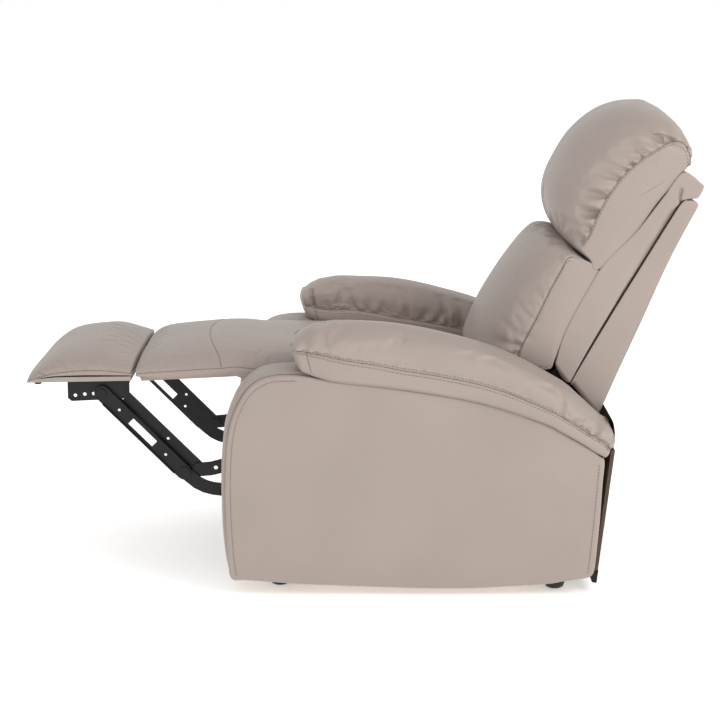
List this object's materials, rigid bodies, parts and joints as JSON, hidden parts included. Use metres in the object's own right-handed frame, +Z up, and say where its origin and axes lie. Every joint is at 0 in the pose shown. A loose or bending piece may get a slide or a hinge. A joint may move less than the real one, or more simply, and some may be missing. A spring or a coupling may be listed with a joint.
{
  "type": "recliner armchair",
  "caption": "Upholstered recliner armchair with padded arms, a reclining two-cushion back on a sliding seat, and a fold-out leg rest on a black steel linkage.",
  "frame": {"origin": "centre of the bounding box on the ground, leg rest out and back part reclined", "axes": "+Z up, the sitter faces -Y, +X is the sitter's left"},
  "size_m": [0.784, 1.4231, 1.0039],
  "materials": {
    "leather": "smooth taupe upholstery leather, semi-matt",
    "leather_shade": "the same leather on boards and arm liners",
    "timber": "bare plywood and softwood, hidden",
    "black_steel": "satin black coated pressed steel",
    "black_plastic": "moulded black plastic",
    "black_cloth": "black non-woven dust cloth",
    "brown_cloth": "brown woven dust cloth on a board",
    "spring_steel": "bare spring wire, hidden"
  },
  "bodies": {
    "base": {"left_outer_panel": "leather", "right_outer_panel": "leather", "left_inner_panel": "leather_shade", "right_inner_panel": "leather_shade", "left_front_band": "leather", "right_front_band": "leather", "left_arm_box": "timber", "right_arm_box": "timber", "left_arm_pillow": "leather", "right_arm_pillow": "leather", "front_rail": "timber", "rear_rail": "timber", "left_base_rail": "timber", "right_base_rail": "timber", "rear_dust_panel": "brown_cloth", "left_seat_runner": "black_steel", "right_seat_runner": "black_steel", "left_front_foot": "black_plastic", "right_front_foot": "black_plastic", "left_rear_foot": "black_plastic", "right_rear_foot": "black_plastic", "release_cup": "black_plastic", "release_cable": "black_plastic", "release_latch": "black_steel"},
    "paddle": {"release_paddle": "black_plastic"},
    "seat": {"left_seat_side_plate": "black_steel", "right_seat_side_plate": "black_steel", "seat_frame": "timber", "seat_spring_1": "spring_steel", "seat_spring_2": "spring_steel", "seat_spring_3": "spring_steel", "seat_cushion": "leather"},
    "drive_arms": {"drive_shaft": "black_steel", "left_upper_arm": "black_steel", "right_upper_arm": "black_steel", "left_curved_arm": "black_steel", "right_curved_arm": "black_steel"},
    "outer_links": {"left_outer_link": "black_steel", "right_outer_link": "black_steel"},
    "inner_links": {"left_inner_link": "black_steel", "right_inner_link": "black_steel"},
    "leg_rest": {"left_leg_rest_bracket": "black_steel", "right_leg_rest_bracket": "black_steel", "leg_rest_board": "leather_shade", "leg_rest_pad": "leather"},
    "front_flap": {"front_flap_board": "leather_shade", "front_flap_pad": "leather"},
    "back": {"lumbar_cushion": "leather", "headrest_cushion": "leather", "left_wing": "leather", "right_wing": "leather", "back_top_roll": "leather", "outer_back_panel": "leather", "back_board": "timber", "left_back_bracket": "black_steel", "right_back_bracket": "black_steel", "lower_back_cover": "black_cloth"}
  },
  "joints": [
    {"name": "seat_slide", "type": "slide", "parent": "base", "child": "seat", "axis": [0, -1, 0], "range_m": [-0.0354, 0.06]},
    {"name": "back_recline", "type": "hinge", "parent": "seat", "child": "back", "pos_m": [0, 0.33, 0.404], "axis": [-1, 0, 0], "range_deg": [-16.5, 28]},
    {"name": "leg_rest_drive", "type": "hinge", "parent": "seat", "child": "drive_arms", "pos_m": [0, -0.15, 0.302], "axis": [1, 0, 0], "range_deg": [0, 109.5]},
    {"name": "outer_link_turn", "type": "hinge", "parent": "drive_arms", "child": "outer_links", "pos_m": [0, -0.375, 0.232], "axis": [1, 0, 0], "range_deg": [-79.68, 0]},
    {"name": "leg_rest_turn", "type": "hinge", "parent": "outer_links", "child": "leg_rest", "pos_m": [0, -0.547, 0.405], "axis": [1, 0, 0], "range_deg": [0, 57.25]},
    {"name": "inner_link_turn", "type": "hinge", "parent": "drive_arms", "child": "inner_links", "pos_m": [0, -0.343, 0.236], "axis": [1, 0, 0], "range_deg": [-82.71, 0]},
    {"name": "front_flap_fold", "type": "hinge", "parent": "seat", "child": "front_flap", "pos_m": [0, -0.266, 0.454], "axis": [1, 0, 0], "range_deg": [0, 91.51]},
    {"name": "release_pull", "type": "hinge", "parent": "base", "child": "paddle", "pos_m": [-0.373, -0.009, 0.339], "axis": [0, 0, 1], "range_deg": [0, 35], "stiffness_Nm_per_rad": 0.8, "springref_deg": -5.73}
  ],
  "couplings": [
    {"joint": "seat_slide", "follows": "back_recline", "m_per_rad": 0.12278},
    {"joint": "outer_link_turn", "follows": "leg_rest_drive", "ratio": -0.72767},
    {"joint": "leg_rest_turn", "follows": "leg_rest_drive", "ratio": 0.52283},
    {"joint": "inner_link_turn", "follows": "leg_rest_drive", "ratio": -0.75531},
    {"joint": "front_flap_fold", "follows": "leg_rest_drive", "ratio": 0.83571}
  ]
}
